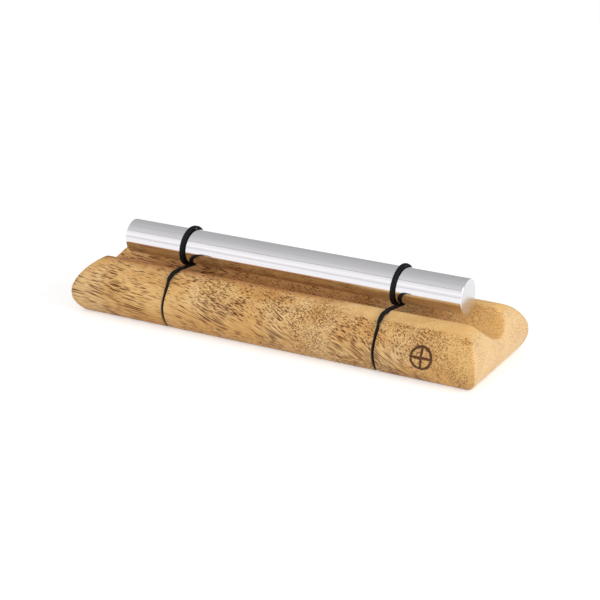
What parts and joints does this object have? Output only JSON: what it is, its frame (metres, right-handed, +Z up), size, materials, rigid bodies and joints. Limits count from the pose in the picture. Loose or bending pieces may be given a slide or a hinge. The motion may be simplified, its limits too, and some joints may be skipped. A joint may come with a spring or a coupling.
{
  "type": "chime bar",
  "caption": "Round metal bar that rings when struck, hung by elastic cord loops over the trough of a bulging hardwood base that lies flat on a table.",
  "frame": {"origin": "middle of the flat underside that the part rests on", "axes": "+X along the bar to the end with the burnt round sign, +Y to the back, +Z up; the front, with the signs, faces -Y"},
  "size_m": [0.2324, 0.0676, 0.047],
  "materials": {
    "hardwood": "fine sanded and oiled, satin",
    "bar_metal": "turned and polished, with a fine brushed sheen",
    "elastic_cord": "braided textile sheath, matt"
  },
  "bodies": {
    "base": {"wooden_base": "hardwood", "left_cord_base_run": "elastic_cord", "right_cord_base_run": "elastic_cord", "left_cord_front_leg": "elastic_cord", "left_cord_rear_leg": "elastic_cord", "right_cord_front_leg": "elastic_cord", "right_cord_rear_leg": "elastic_cord"},
    "cord_loops": {"left_cord_turn": "elastic_cord", "right_cord_turn": "elastic_cord"},
    "bar": {"chime_bar": "bar_metal"}
  },
  "joints": [
    {"name": "bar_bounce", "type": "slide", "parent": "base", "child": "cord_loops", "axis": [0, 0, 1], "range_m": [-0.0055, 0.01], "stiffness_N_per_m": 550, "springref_m": 0.00238, "deforming": ["left_cord_front_leg", "left_cord_rear_leg", "right_cord_front_leg", "right_cord_rear_leg"]},
    {"name": "bar_slide", "type": "slide", "parent": "cord_loops", "child": "bar", "axis": [1, 0, 0], "range_m": [-0.032, 0.034]}
  ]
}
